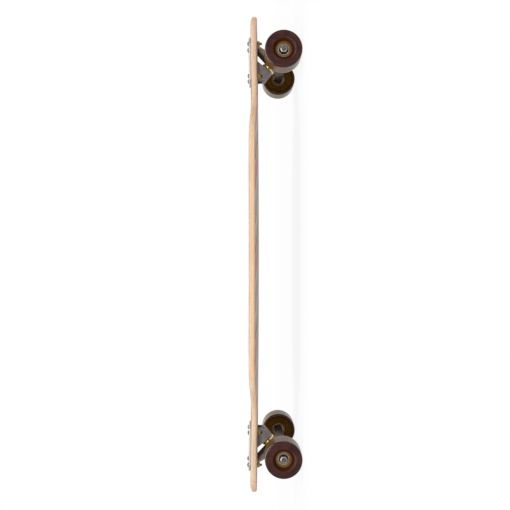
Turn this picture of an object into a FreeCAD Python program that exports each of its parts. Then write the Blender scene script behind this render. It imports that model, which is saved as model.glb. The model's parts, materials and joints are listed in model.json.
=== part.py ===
import FreeCAD, Part
import os
from math import asin, cos, degrees, radians, sin, sqrt

V = FreeCAD.Vector

# A drop-through longboard. Sizes are in millimetres and angles in degrees.
# +X points to the nose, +Y to the left and +Z up. The origin is on the ground under the deck's middle.

# Deck, a pressed laminate that is dished across and slightly rockered along
deck_length = 946
deck_width = 228
deck_thickness = 11
concave_radius = 740
rocker_radius = 29000
rail_rounding = 4
rail_bow_radius = 9000
shoulder_setback = 179
shoulder_radius = 90
neck_radius = 90
tongue_width = 112
tongue_corner_radius = 48
tongue_end_radius = 66

# Grip tape
grip_thickness = 0.9
grip_inset = 6
grip_plate_gap = 2

# Truck position and steering geometry
truck_setback = 89
axle_drop = 57.5
axle_inset = 9.4
steering_angle = 50
axle_rake = 2
kingpin_to_axle = 17

# Mounting bolts
bolt_spacing_long = 63.5
bolt_spacing_short = 53.98
bolt_spacing_wide = 41.3
bolt_diameter = 4.8
bolt_clearance = 0.35
bolt_head_diameter = 9.2
bolt_head_height = 3.1
bolt_head_crown = 4.6
bolt_head_edge = 1.2
bolt_end = 3.5
nut_flats = 9.5
nut_height = 5.5

# Baseplate
plate_width = 56
plate_thickness = 6
plate_corner_radius = 8
plate_edge_rounding = 1.8
plate_overlap = 2
lug_root = 40.5
lug_thickness = 24
lug_depth = 25
lug_length = 22
lug_rounding = 7
lug_pocket_length = 14
slot_width = 30
slot_corner_radius = 9
slot_clearance = 2

# Pivot
pivot_reach = 50.5
pivot_diameter = 10
pivot_clearance = 0.1
pivot_cup_wall = 2
pivot_cup_depth = 11
pivot_cup_lip = 1.2
pivot_shoulder_gap = 0.8
pivot_boss_wall = 4

# Hanger
hanger_width = 180
hanger_tube_diameter = 17.5
hanger_tip_diameter = 14
hanger_tip_length = 12
hanger_body_width = 116
hanger_body_depth = 32
hanger_body_thickness = 15
hanger_sections = 7
ellipse_margin = 0.1
wing_root_sink = 0.6
ring_diameter = 31
ring_height = 12
ring_web = 5
ring_bore_diameter = 14.4
arm_root_diameter = 24
arm_root_station = 12
arm_tip_diameter = 15

# Kingpin and bushings
kingpin_diameter = 9.525
kingpin_clearance = 0.2
kingpin_head_flats = 14.3
kingpin_head_height = 6
kingpin_head_pocket = 18
kingpin_nut_height = 9
kingpin_end = 2
bushing_diameter = 24.4
bushing_height = 15.2
bushing_cone_diameter = 20
bushing_edge = 1.2
bushing_seat_gap = 0.3
washer_diameter = 27
washer_thickness = 2.2
washer_lip_height = 2

# Axle, spacers and axle nuts
axle_diameter = 8
axle_clearance = 0.02
axle_chamfer = 0.8
speed_ring_thickness = 1.2
speed_ring_diameter = 11.4
spacer_length = 10
spacer_diameter = 11
axle_nut_flats = 12.7
axle_nut_height = 6.5
axle_nut_collar = 2
axle_nut_collar_diameter = 11.6
axle_end = 1.6

# Shielded ball bearings
bearing_diameter = 22
bearing_width = 7
inner_land_diameter = 12.1
shield_gap = 0.3
shield_thickness = 0.5
race_wall = 2

# Wheels
wheel_diameter = 69
wheel_width = 45
wheel_lip_radius = 4
wheel_face_slope = 0.8
wheel_recess_diameter = 41
wheel_dish_diameter = 57
core_rim_diameter = 27.5
core_rim_proud = 0.6
core_flange_diameter = 35
core_flange_width = 16
core_bore_diameter = 18

# Places along the deck: the bolts lie in from its tip, and the wheel cut-out starts in from the bolts
truck_station = deck_length / 2 - truck_setback
shoulder_station = truck_station - shoulder_setback

# Steering frame: +X runs up the steering axis to the pivot and +Z up the kingpin to the deck
steer_turn = FreeCAD.Rotation(V(0, 1, 0), -steering_angle)
axle_in_steer = V(-kingpin_to_axle, 0, -axle_rake)
ring_centre = V(-axle_inset, 0, -axle_drop) - steer_turn.multVec(axle_in_steer)
steer = FreeCAD.Placement(ring_centre, steer_turn)

# Truck frame: the origin is amid the bolts under the plate, with +X out along the deck
tilt = asin(truck_station / rocker_radius)
plate_half = plate_width / 2
slot_inner_end = -lug_root - slot_clearance
plate_inner_end = plate_overlap - slot_inner_end
dish_rise = concave_radius - sqrt(concave_radius ** 2 - plate_half ** 2)
rocker_rise = rocker_radius - sqrt(rocker_radius ** 2 - plate_inner_end ** 2)
seat_rise = dish_rise + rocker_rise
truck_turn = FreeCAD.Rotation(V(0, 1, 0), -degrees(tilt))
axle_in_truck = truck_turn.multVec(V(-axle_inset, 0, -axle_drop))
truck_height = wheel_diameter / 2 - axle_in_truck.z
deck_top = truck_height + (rocker_radius - seat_rise) * cos(tilt) - rocker_radius
truck_place = V((rocker_radius - seat_rise) * sin(tilt), 0, truck_height)
truck_frames = {
    "front": FreeCAD.Placement(truck_place, truck_turn),
    "rear": FreeCAD.Placement(V(0, 0, 0), FreeCAD.Rotation(V(0, 0, 1), 180))
    * FreeCAD.Placement(truck_place, truck_turn),
}
sides = {"left": 1, "right": -1}

# Places along the kingpin, from the middle of the hanger's ring
bushing_base = ring_web / 2
bushing_top = bushing_base + bushing_height
lug_seat = bushing_top + washer_thickness
lug_back = lug_seat + lug_length
kingpin_head_seat = lug_seat + kingpin_head_pocket

# Places along the steering axis, from the kingpin
cup_bottom = pivot_reach + pivot_diameter / 2 + pivot_clearance
cup_mouth = cup_bottom - pivot_cup_depth
cup_diameter = pivot_diameter + 2 * pivot_cup_wall
arm_tip = cup_mouth - pivot_shoulder_gap
boss_diameter = cup_diameter + 2 * pivot_boss_wall

# Places along the deck, in the truck frame
deck_under = -seat_rise - deck_thickness
boss_outer_end = steer.multVec(V(cup_bottom, 0, -cup_diameter / 2)).x + pivot_boss_wall
slot_outer_end = boss_outer_end + slot_clearance
plate_outer_end = slot_outer_end + plate_overlap
bolt_row_out = bolt_spacing_long / 2
bolt_row_in = -bolt_spacing_long / 2
spare_row = bolt_row_out - bolt_spacing_short
bolt_side = bolt_spacing_wide / 2
under_radius = concave_radius + deck_thickness
nut_inner_side = bolt_side - nut_flats / sqrt(3)
nut_seat = deck_under + under_radius - sqrt(under_radius ** 2 - nut_inner_side ** 2)

# Places along the axle, from the middle of the truck
axle_bore = axle_diameter / 2 + axle_clearance
hanger_end = hanger_width / 2
inner_bearing = hanger_end + speed_ring_thickness
hub_middle = inner_bearing + bearing_width + spacer_length / 2
outer_bearing = hub_middle + spacer_length / 2
axle_nut_seat = outer_bearing + bearing_width + speed_ring_thickness
axle_half = axle_nut_seat + axle_nut_height + axle_end

# Cutters and blanks reach this far past the piece that they shape
past = 5

# Points closer together than this are the same point
hair = 0.01


def arc(centre, radius, first, last):
    """Arc about a centre between two directions, the short way round."""
    middle = (first + last).normalize()
    points = [centre + direction * radius for direction in (first, middle, last)]
    return Part.Arc(*points).toShape()


def flat(edges):
    """Face inside a closed loop of edges."""
    return Part.Face(Part.Wire(Part.__sortEdges__(edges)))


def mirrored(edges, normal):
    return [edge.mirror(V(0, 0, 0), normal) for edge in edges]


def loop(points):
    """Straight edges that join the points and return to the first one."""
    return Part.makePolygon(points + points[:1]).Edges


def turned(edges):
    """Solid turned about Z from a closed profile in the XZ plane."""
    return flat(edges).revolve(V(0, 0, 0), V(0, 0, 1), 360)


def turned_points(points):
    """Solid turned about Z from (radius, height) corners."""
    return turned(loop([V(radius, 0, height) for radius, height in points]))


def tube(inner, outer, low, high):
    """Plain ring about Z."""
    return turned_points([(inner, low), (outer, low), (outer, high), (inner, high)])


def hexagon(flats, low, high):
    """Hexagonal prism about Z."""
    corner = flats / sqrt(3)
    points = [V(corner * cos(radians(a)), corner * sin(radians(a)), low) for a in range(0, 360, 60)]
    return flat(loop(points)).extrude(V(0, 0, high - low))


def moved(shape, *frames):
    """Copy of a shape set through a chain of frames, outermost first."""
    copy = shape.copy()
    for frame in reversed(frames):
        copy.Placement = frame * copy.Placement
    return copy


def at(x, y, z):
    return FreeCAD.Placement(V(x, y, z), FreeCAD.Rotation())


def axle_frame(side):
    """Frame on the axle whose Z runs out from the truck's middle to one side."""
    return FreeCAD.Placement(axle_in_steer, FreeCAD.Rotation(V(1, 0, 0), -90 * side))


def along_steering():
    """Frame whose Z runs up the steering axis."""
    return FreeCAD.Placement(V(0, 0, 0), FreeCAD.Rotation(V(0, 1, 0), 90))


def deck_outline(inset):
    """Plan of the deck: bowed rails, wheel cut-outs and rounded tongues, moved in by the inset."""
    bow_centre = V(0, deck_width / 2 - rail_bow_radius, 0)
    lean = asin(shoulder_station / rail_bow_radius)
    outward = V(sin(lean), cos(lean), 0)
    shoulder_centre = bow_centre + outward * (rail_bow_radius - shoulder_radius)
    span = shoulder_radius + neck_radius
    rise = tongue_width / 2 + neck_radius - shoulder_centre.y
    neck_centre = shoulder_centre + V(sqrt(span ** 2 - rise ** 2), rise, 0)
    turn = (neck_centre - shoulder_centre).normalize()
    end_centre = V(deck_length / 2 - tongue_end_radius, 0, 0)
    side = tongue_width / 2 - tongue_corner_radius
    reach = tongue_end_radius - tongue_corner_radius
    corner_centre = end_centre + V(sqrt(reach ** 2 - side ** 2), side, 0)
    corner_turn = (corner_centre - end_centre).normalize()
    neck_end = neck_centre - V(0, neck_radius + inset, 0)
    corner_start = corner_centre + V(0, tongue_corner_radius - inset, 0)
    quarter = [
        arc(bow_centre, rail_bow_radius - inset, V(0, 1, 0), outward),
        arc(shoulder_centre, shoulder_radius - inset, outward, turn),
        arc(neck_centre, neck_radius + inset, turn * -1, V(0, -1, 0)),
        Part.makeLine(neck_end, corner_start),
        arc(corner_centre, tongue_corner_radius - inset, V(0, 1, 0), corner_turn),
        arc(end_centre, tongue_end_radius - inset, corner_turn, V(1, 0, 0)),
    ]
    half = quarter + mirrored(quarter, V(0, 1, 0))
    return flat(half + mirrored(half, V(1, 0, 0)))


def deck_slab(low, high):
    """Slab between two heights over the deck's top face, with its dish and rocker."""
    centre = V(0, 0, deck_top + concave_radius)
    spread = asin((deck_width / 2 + past) / concave_radius)
    left = V(0, -sin(spread), -cos(spread))
    right = V(0, sin(spread), -cos(spread))
    under = concave_radius - low
    over = concave_radius - high
    section = flat([
        arc(centre, under, left, right),
        Part.makeLine(centre + right * under, centre + right * over),
        arc(centre, over, right, left),
        Part.makeLine(centre + left * over, centre + left * under),
    ])
    sweep = degrees(asin((deck_length / 2 + past) / rocker_radius))
    pole = V(0, 0, deck_top + rocker_radius)
    section.rotate(pole, V(0, 1, 0), -sweep)
    return section.revolve(pole, V(0, 1, 0), 2 * sweep)


def bar_plan(start, stop, half_width, radius):
    """Rounded rectangle along X."""
    corners = [
        (V(stop - radius, half_width - radius, 0), V(1, 0, 0), V(0, 1, 0)),
        (V(start + radius, half_width - radius, 0), V(0, 1, 0), V(-1, 0, 0)),
        (V(start + radius, radius - half_width, 0), V(-1, 0, 0), V(0, -1, 0)),
        (V(stop - radius, radius - half_width, 0), V(0, -1, 0), V(1, 0, 0)),
    ]
    edges = [arc(centre, radius, first, last) for centre, first, last in corners]
    for edge, following in zip(list(edges), edges[1:] + edges[:1]):
        edges.append(Part.makeLine(edge.lastVertex().Point, following.firstVertex().Point))
    return flat(edges)


def plate_plan(margin):
    """Plan of the baseplate: square at its inner end and rounded out over the pivot."""
    half = plate_half + margin
    tip = plate_outer_end + margin
    start = -plate_inner_end - margin
    radius = plate_corner_radius + margin
    shoulder = bolt_row_out
    end_radius = ((tip - shoulder) ** 2 + half ** 2) / (2 * (tip - shoulder))
    end_centre = V(tip - end_radius, 0, 0)
    end_turn = (V(shoulder, half, 0) - end_centre).normalize()
    corner = V(start + radius, half - radius, 0)
    upper = [
        Part.makeLine(V(start, 0, 0), V(start, half - radius, 0)),
        arc(corner, radius, V(-1, 0, 0), V(0, 1, 0)),
        Part.makeLine(V(start + radius, half, 0), V(shoulder, half, 0)),
        arc(end_centre, end_radius, end_turn, V(1, 0, 0)),
    ]
    return flat(upper + mirrored(upper, V(0, 1, 0)))


def bolt_places(rows):
    return [at(row, side * bolt_side, 0) for row in rows for side in sides.values()]


def bolt_holes(rows, low, high):
    hole = Part.makeCylinder(bolt_diameter / 2 + bolt_clearance, high - low, V(0, 0, low))
    return [moved(hole, place) for place in bolt_places(rows)]


def deck():
    """Laminated deck with rounded rails, two drop-through slots and their bolt holes."""
    plan = deck_outline(0).extrude(V(0, 0, 2 * deck_top))
    board = deck_slab(-deck_thickness, 0).common(plan).Solids[0]
    rails = [edge for edge in board.Edges if abs(edge.tangentAt(edge.FirstParameter).z) < 0.5]
    board = board.makeFillet(rail_rounding, rails)
    low = deck_under - past
    slot = bar_plan(slot_inner_end, slot_outer_end, slot_width / 2, slot_corner_radius)
    slot.translate(V(0, 0, low))
    openings = [slot.extrude(V(0, 0, past - low))] + bolt_holes([bolt_row_out, bolt_row_in], low, past)
    cutters = [moved(shape, frame) for frame in truck_frames.values() for shape in openings]
    return board.cut(cutters)


def grip_tape():
    """Abrasive sheet on the deck's top, cut away around the baseplates."""
    plan = deck_outline(grip_inset).extrude(V(0, 0, 2 * deck_top))
    sheet = deck_slab(0, grip_thickness).common(plan).Solids[0]
    window = plate_plan(grip_plate_gap)
    window.translate(V(0, 0, -past))
    window = window.extrude(V(0, 0, 2 * past))
    return sheet.cut([moved(window, frame) for frame in truck_frames.values()])


def kingpin_lug(root):
    """Wedge under the plate whose face lies square to the kingpin, with rounded flanks at its inner end."""
    seat_start = steer.multVec(V(0, 0, lug_seat))
    along = steer.Rotation.multVec(V(1, 0, 0))
    corners = [
        V(-lug_root, 0, root),
        steer.multVec(V(-lug_depth / 2, 0, lug_back)),
        steer.multVec(V(-lug_depth / 2, 0, lug_seat)),
        seat_start + along * ((root - seat_start.z) / along.z),
    ]
    wedge = flat(loop(corners))
    wedge.translate(V(0, -lug_thickness / 2, 0))
    wedge = wedge.extrude(V(0, lug_thickness, 0))
    flanks = [(corners[0] + corners[1]) / 2, (corners[1] + corners[2]) / 2]
    half = V(0, lug_thickness / 2, 0)
    middles = [flank + half * side for flank in flanks for side in sides.values()]
    rounded = [edge for edge in wedge.Edges if min((edge.CenterOfMass - m).Length for m in middles) < hair]
    return wedge.makeFillet(lug_rounding, rounded)


def baseplate():
    """Cast plate with a wedge-shaped kingpin lug and a bored pivot boss."""
    plate = plate_plan(0).extrude(V(0, 0, plate_thickness))
    rim = [edge for edge in plate.Edges if edge.BoundBox.ZMin > plate_thickness / 2]
    plate = plate.makeFillet(plate_edge_rounding, rim)
    root = plate_thickness / 2
    boss = Part.makeCylinder(boss_diameter / 2, 2 * cup_bottom, V(0, 0, 0))
    boss_room = Part.makeBox(
        boss_outer_end, boss_diameter, root - deck_under, V(0, -boss_diameter / 2, deck_under)
    )
    boss = moved(boss, steer, along_steering()).common(boss_room)
    casting = plate.fuse([kingpin_lug(root), boss]).removeSplitter()
    shank = Part.makeCylinder(kingpin_diameter / 2, lug_length, V(0, 0, lug_seat))
    head_corner = kingpin_head_flats / sqrt(3)
    pocket = Part.makeCylinder(head_corner + kingpin_clearance, lug_pocket_length, V(0, 0, kingpin_head_seat))
    cup_bore = turned_points([
        (0, arm_root_station),
        (arm_root_diameter / 2 + pivot_shoulder_gap, arm_root_station),
        (arm_tip_diameter / 2 + pivot_shoulder_gap, arm_tip),
        (arm_tip_diameter / 2 + pivot_shoulder_gap, cup_mouth + pivot_cup_lip),
        (cup_diameter / 2, cup_mouth + pivot_cup_lip),
        (cup_diameter / 2, cup_bottom + pivot_cup_wall),
        (0, cup_bottom + pivot_cup_wall),
    ])
    cuts = [moved(shank, steer), moved(pocket, steer), moved(cup_bore, steer, along_steering())]
    rows = [bolt_row_out, bolt_row_in, spare_row]
    return casting.cut(cuts + bolt_holes(rows, -past, plate_thickness + past))


def pivot_cup():
    """Flanged cup that the hanger's pivot turns in."""
    bore = pivot_diameter / 2 + pivot_clearance
    lip = arm_tip_diameter / 2 + pivot_shoulder_gap
    ball = V(0, 0, pivot_reach)
    profile = [
        arc(ball, bore, V(1, 0, 0), V(0, 0, 1)),
        Part.makeLine(V(0, 0, cup_bottom), V(0, 0, cup_bottom + pivot_cup_wall)),
    ]
    corners = [
        (0, cup_bottom + pivot_cup_wall),
        (cup_diameter / 2, cup_bottom + pivot_cup_wall),
        (cup_diameter / 2, cup_mouth + pivot_cup_lip),
        (lip, cup_mouth + pivot_cup_lip),
        (lip, cup_mouth),
        (bore, cup_mouth),
        (bore, pivot_reach),
    ]
    profile += Part.makePolygon([V(radius, 0, height) for radius, height in corners]).Edges
    return moved(turned(profile), along_steering())


def hanger_body():
    """Wing that swells out of the axle tube to the ring in the middle."""
    root = hanger_tube_diameter / 2 - wing_root_sink
    wires = []
    for step in range(hanger_sections):
        across = 2 * step / (hanger_sections - 1) - 1
        swell = cos(radians(90 * across))
        grown = swell * (hanger_body_depth / 2 - root)
        depth = root + grown + ellipse_margin
        thickness = root + swell * (hanger_body_thickness / 2 - root)
        middle = axle_in_steer + V(grown, across * hanger_body_width / 2, swell * axle_rake)
        ellipse = Part.Ellipse(middle - V(depth, 0, 0), middle + V(0, 0, thickness), middle)
        wires.append(Part.Wire(ellipse.toShape()))
    return Part.makeLoft(wires, True)


def hanger():
    """Cast hanger: axle tubes, swelling body, bushing ring and pivot arm."""
    tube_radius = hanger_tube_diameter / 2
    taper_start = hanger_end - hanger_tip_length
    axle_tube = turned_points([
        (0, -hanger_end),
        (hanger_tip_diameter / 2, -hanger_end),
        (tube_radius, -taper_start),
        (tube_radius, taper_start),
        (hanger_tip_diameter / 2, hanger_end),
        (0, hanger_end),
    ])
    ring = Part.makeCylinder(ring_diameter / 2, ring_height, V(0, 0, -ring_height / 2))
    arm = turned_points([
        (0, arm_root_station),
        (arm_root_diameter / 2, arm_root_station),
        (arm_tip_diameter / 2, arm_tip),
        (pivot_diameter / 2, arm_tip),
        (pivot_diameter / 2, pivot_reach),
        (0, pivot_reach),
    ])
    nose = moved(Part.makeSphere(pivot_diameter / 2), at(pivot_reach, 0, 0))
    solids = [moved(axle_tube, axle_frame(1)), ring, moved(arm, along_steering()), nose]
    casting = hanger_body().fuse(solids).removeSplitter()
    seat_radius = bushing_diameter / 2 + bushing_seat_gap
    bore = ring_bore_diameter / 2
    ring_cut = turned_points([
        (0, -ring_height),
        (seat_radius, -ring_height),
        (seat_radius, -bushing_base),
        (bore, -bushing_base),
        (bore, bushing_base),
        (seat_radius, bushing_base),
        (seat_radius, ring_height),
        (0, ring_height),
    ])
    axle_hole = Part.makeCylinder(axle_bore, hanger_width + 2 * past, V(0, 0, -hanger_end - past))
    return casting.cut(ring_cut).cut(moved(axle_hole, axle_frame(1)))


def axle():
    """Steel axle through the hanger, with chamfered ends."""
    radius = axle_diameter / 2
    tip = radius - axle_chamfer
    rod = turned_points([
        (0, -axle_half),
        (tip, -axle_half),
        (radius, axle_chamfer - axle_half),
        (radius, axle_half - axle_chamfer),
        (tip, axle_half),
        (0, axle_half),
    ])
    return moved(rod, axle_frame(1))


def kingpin():
    """Hexagon-headed bolt from the lug's pocket down through both bushings."""
    foot = -lug_seat - kingpin_nut_height - kingpin_end
    shank = Part.makeCylinder(kingpin_diameter / 2, kingpin_head_seat - foot, V(0, 0, foot))
    head = hexagon(kingpin_head_flats, kingpin_head_seat, kingpin_head_seat + kingpin_head_height)
    return shank.fuse(head).removeSplitter()


def kingpin_nut():
    nut = hexagon(kingpin_head_flats, -lug_seat - kingpin_nut_height, -lug_seat)
    return nut.cut(Part.makeCylinder(kingpin_diameter / 2, 2 * lug_seat, V(0, 0, -2 * lug_seat)))


def bushing(end_diameter):
    """Urethane bushing that tapers to its free end, standing on the hanger's web."""
    bore = kingpin_diameter / 2 + kingpin_clearance
    wide = bushing_diameter / 2
    narrow = end_diameter / 2
    return turned_points([
        (bore, bushing_base),
        (wide - bushing_edge, bushing_base),
        (wide, bushing_base + bushing_edge),
        (narrow, bushing_top - bushing_edge),
        (narrow - bushing_edge, bushing_top),
        (bore, bushing_top),
    ])


def washer():
    """Cupped washer whose lip turns down round the end of a bushing."""
    bore = kingpin_diameter / 2 + kingpin_clearance
    outer = washer_diameter / 2
    cup = bushing_diameter / 2 + bushing_seat_gap
    return turned_points([
        (bore, bushing_top),
        (cup, bushing_top),
        (cup, bushing_top - washer_lip_height),
        (outer, bushing_top - washer_lip_height),
        (outer, lug_seat),
        (bore, lug_seat),
    ])


def flipped(shape):
    """The same piece on the road side of the hanger."""
    return moved(shape, FreeCAD.Placement(V(0, 0, 0), FreeCAD.Rotation(V(1, 0, 0), 180)))


def mounting_bolt():
    """Domed screw with its head on the plate."""
    head = bolt_head_diameter / 2
    foot = nut_seat - nut_height - bolt_end
    return turned_points([
        (0, foot),
        (bolt_diameter / 2, foot),
        (bolt_diameter / 2, plate_thickness),
        (head, plate_thickness),
        (head, plate_thickness + bolt_head_edge),
        (bolt_head_crown / 2, plate_thickness + bolt_head_height),
        (0, plate_thickness + bolt_head_height),
    ])


def mounting_nut():
    nut = hexagon(nut_flats, nut_seat - nut_height, nut_seat)
    return nut.cut(Part.makeCylinder(bolt_diameter / 2, 2 * past, V(0, 0, nut_seat - 2 * past)))


def axle_nut():
    """Lock nut with a round collar on its outer end."""
    top = axle_nut_seat + axle_nut_height
    nut = hexagon(axle_nut_flats, axle_nut_seat, top - axle_nut_collar)
    collar = tube(axle_bore, axle_nut_collar_diameter / 2, top - axle_nut_collar, top)
    bore = Part.makeCylinder(axle_bore, 2 * axle_nut_height, V(0, 0, axle_nut_seat - past))
    return nut.cut(bore).fuse(collar)


def bearing_inner():
    """Inner ring of a bearing, clamped on the axle."""
    return tube(axle_bore, inner_land_diameter / 2, 0, bearing_width)


def bearing_outer():
    """Outer ring of a bearing with its two shields, a channel that closes in the balls' race."""
    outer = bearing_diameter / 2
    race = outer - race_wall
    lip = inner_land_diameter / 2 + shield_gap
    return turned_points([
        (outer, 0),
        (outer, bearing_width),
        (lip, bearing_width),
        (lip, bearing_width - shield_thickness),
        (race, bearing_width - shield_thickness),
        (race, shield_thickness),
        (lip, shield_thickness),
        (lip, 0),
    ])


def core():
    """Hard hub with a bearing seat at each end and a flange that the tyre grips."""
    seat = bearing_diameter / 2
    stop = spacer_length / 2
    face = stop + bearing_width + core_rim_proud
    upper = [
        (core_bore_diameter / 2, stop),
        (seat, stop),
        (seat, face),
        (core_rim_diameter / 2, face),
        (core_rim_diameter / 2, core_flange_width / 2),
        (core_flange_diameter / 2, core_flange_width / 2),
    ]
    lower = [(radius, -height) for radius, height in reversed(upper)]
    return moved(turned_points(upper + lower), at(0, 0, hub_middle))


def tyre_half(recess_diameter):
    """Profile of the tyre's half towards +Z: rounded lip, face, dished recess and the seat of the core."""
    radius = wheel_diameter / 2
    half = wheel_width / 2
    face = spacer_length / 2 + bearing_width + core_rim_proud
    rim = core_rim_diameter / 2
    flange = core_flange_diameter / 2
    lip = V(radius - wheel_lip_radius, 0, half - wheel_lip_radius)
    edges = Part.makePolygon([
        V(flange, 0, 0),
        V(flange, 0, core_flange_width / 2),
        V(rim, 0, core_flange_width / 2),
        V(rim, 0, face),
        V(recess_diameter / 2, 0, half - wheel_face_slope),
        lip + V(0, 0, wheel_lip_radius),
    ]).Edges
    edges.append(arc(lip, wheel_lip_radius, V(0, 0, 1), V(1, 0, 0)))
    edges.append(Part.makeLine(lip + V(wheel_lip_radius, 0, 0), V(radius, 0, 0)))
    return edges


def tyre():
    """Urethane tyre cast round the core, with a broad outer face and a wide dish towards the truck."""
    outer = tyre_half(wheel_recess_diameter)
    inner = mirrored(tyre_half(wheel_dish_diameter), V(0, 0, 1))
    return moved(turned(outer + inner), at(0, 0, hub_middle))


def bearing_frames():
    return [at(0, 0, inner_bearing), at(0, 0, outer_bearing)]


def in_bearings(shape):
    """Copies of a bearing's piece in both bearings of one wheel."""
    return [moved(shape, frame) for frame in bearing_frames()]


def save(name, shapes):
    shape = shapes[0] if len(shapes) == 1 else Part.makeCompound(shapes)
    shape.exportStep("parts/" + name + ".step")


def save_truck(end, frame):
    """Pieces of one truck that stay with the deck."""
    held = {
        "pivot_cup": [pivot_cup()],
        "kingpin": [kingpin()],
        "kingpin_nut": [kingpin_nut()],
        "board_bushing": [bushing(bushing_diameter)],
        "road_bushing": [flipped(bushing(bushing_cone_diameter))],
        "bushing_washers": [washer(), flipped(washer())],
    }
    for name, shapes in held.items():
        save(end + "_" + name, [moved(shape, frame, steer) for shape in shapes])
    places = bolt_places([bolt_row_out, bolt_row_in])
    save(end + "_baseplate", [moved(baseplate(), frame)])
    save(end + "_mounting_bolts", [moved(mounting_bolt(), frame, place) for place in places])
    save(end + "_mounting_nuts", [moved(mounting_nut(), frame, place) for place in places])


def save_hanger(end, frame):
    """Pieces that swing with one hanger."""
    save(end + "_hanger", [moved(hanger(), frame, steer)])
    save(end + "_axle", [moved(axle(), frame, steer)])
    ring_low = tube(axle_bore, speed_ring_diameter / 2, hanger_end, inner_bearing)
    ring_rise = at(0, 0, axle_nut_seat - inner_bearing)
    spacer = tube(axle_bore, spacer_diameter / 2, inner_bearing + bearing_width, outer_bearing)
    carried = {
        "axle_nuts": [axle_nut()],
        "speed_rings": [ring_low, moved(ring_low, ring_rise)],
        "bearing_spacers": [spacer],
        "bearing_inner_rings": in_bearings(bearing_inner()),
    }
    for name, shapes in carried.items():
        pair = [moved(s, frame, steer, axle_frame(side)) for side in sides.values() for s in shapes]
        save(end + "_" + name, pair)


def save_wheel(end, frame, side):
    """Pieces that spin with the wheel on one side of the board, whichever way its truck is turned."""
    outward = sides[side] * frame.Rotation.multVec(V(0, 1, 0)).y
    spinning = {
        "wheel_tyre": [tyre()],
        "wheel_core": [core()],
        "bearing_outer_rings": in_bearings(bearing_outer()),
    }
    for name, shapes in spinning.items():
        placed = [moved(shape, frame, steer, axle_frame(outward)) for shape in shapes]
        save(end + "_" + side + "_" + name, placed)


def main():
    os.makedirs("parts", exist_ok=True)
    save("deck", [deck()])
    save("grip_tape", [grip_tape()])
    for end, frame in truck_frames.items():
        save_truck(end, frame)
        save_hanger(end, frame)
        for side in sides:
            save_wheel(end, frame, side)


main()
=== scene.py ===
import json
import math
import bpy
from mathutils import Matrix, Vector


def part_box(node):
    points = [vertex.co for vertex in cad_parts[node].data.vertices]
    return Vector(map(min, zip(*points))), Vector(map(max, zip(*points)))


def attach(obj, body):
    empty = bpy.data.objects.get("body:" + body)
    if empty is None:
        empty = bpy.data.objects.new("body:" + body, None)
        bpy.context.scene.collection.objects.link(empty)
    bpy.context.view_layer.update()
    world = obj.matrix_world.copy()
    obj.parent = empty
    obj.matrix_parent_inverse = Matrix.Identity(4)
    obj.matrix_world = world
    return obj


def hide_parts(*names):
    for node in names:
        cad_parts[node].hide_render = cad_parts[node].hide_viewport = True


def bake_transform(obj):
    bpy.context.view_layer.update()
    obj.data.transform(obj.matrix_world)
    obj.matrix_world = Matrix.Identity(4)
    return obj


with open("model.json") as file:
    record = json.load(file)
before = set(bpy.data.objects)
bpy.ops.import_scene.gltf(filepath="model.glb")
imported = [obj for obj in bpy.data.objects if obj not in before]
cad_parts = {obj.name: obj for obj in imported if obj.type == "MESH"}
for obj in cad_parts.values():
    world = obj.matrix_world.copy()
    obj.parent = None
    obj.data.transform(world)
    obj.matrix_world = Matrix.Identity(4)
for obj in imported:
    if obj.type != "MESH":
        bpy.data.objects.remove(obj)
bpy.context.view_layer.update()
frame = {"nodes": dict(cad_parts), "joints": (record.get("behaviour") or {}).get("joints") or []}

# Sizes are in millimetres, and this turns them to metres
MM = 0.001
ENDS = ("front", "rear")
SIDES = {"left": 1, "right": -1}
joints = {joint["name"]: joint for joint in frame["joints"]}
board_body = {end: "board" for end in ENDS}
steering_body = {end: end + "_steering" for end in ENDS}
upside_down = Matrix.Rotation(math.pi, 4, "X")

# Deck
deck_thickness = 11.0
concave_radius = 740.0
rocker_radius = 29000.0
deck_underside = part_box("deck")[0].z / MM
plies = 9
print_depth = 0.4
chevron_slope = 0.9
chevron_wobble = 30.0
chevron_repeat = 168.0

# Wheels
wheel_radius = 34.5
wheel_half_width = 22.5
wheel_lip_width = 3.2
wheel_lip_depth = 6.0
wheel_back_lip = 4.0
wheel_face_slope = 0.8
wheel_recess_radius = 20.5
wheel_dish_radius = 28.5
core_rim_radius = 13.75
core_flange_radius = 17.5
core_flange_half = 8.0
core_bore_radius = 9.0
core_face = 12.6
bearing_radius = 11.0
bearing_low = 5.0
bearing_high = 12.0
shield_radius = 9.2
shield_lip_radius = 6.35

# Edges of the wheel: the rounded edge of its recess is points out from its radius and down from its face
tread_flat_share = 0.7
recess_edge = ((1.2, -0.05), (0.3, 0.1), (-0.5, 0.6), (-1.2, 1.4))
recess_foot_width = 0.6
recess_foot_height = 0.4
core_seat_chamfer = 0.5
core_rim_chamfer = 0.4

# Depth that red, green and blue light reach in urethane
urethane_scatter = (6.0, 3.0, 1.2)

# Heights in a bearing: its ring, the stepped shield in front and the flat one behind
ring_chamfer = 0.4
ring_groove = bearing_high - 0.6
shield_floor = bearing_high - 0.8
shield_rim_top = bearing_high - 0.35
shield_rim_width = 0.5
shield_step = 0.7
shield_crown = bearing_high - 0.1
shield_lip_top = bearing_high - 0.4
shield_lip_width = 0.5
back_shield_low = bearing_low + 0.1
back_shield_high = bearing_low + 0.5

# Truck places: the middle of the bolts under the plate, sloped along the rocker, with the axle below it
truck_station = 384.0
truck_tilt = math.asin(truck_station / rocker_radius)
axle_drop = 57.5
axle_inset = 9.4
truck_height = wheel_radius + axle_drop * math.cos(truck_tilt) + axle_inset * math.sin(truck_tilt)
plate_thickness = 6.0
plate_voxel = 0.6
hanger_voxel = 0.7
# Heights on the hanger from painted shade below to a painted highlight above
hanger_shade = 46.0
hanger_lit = 70.0

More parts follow.
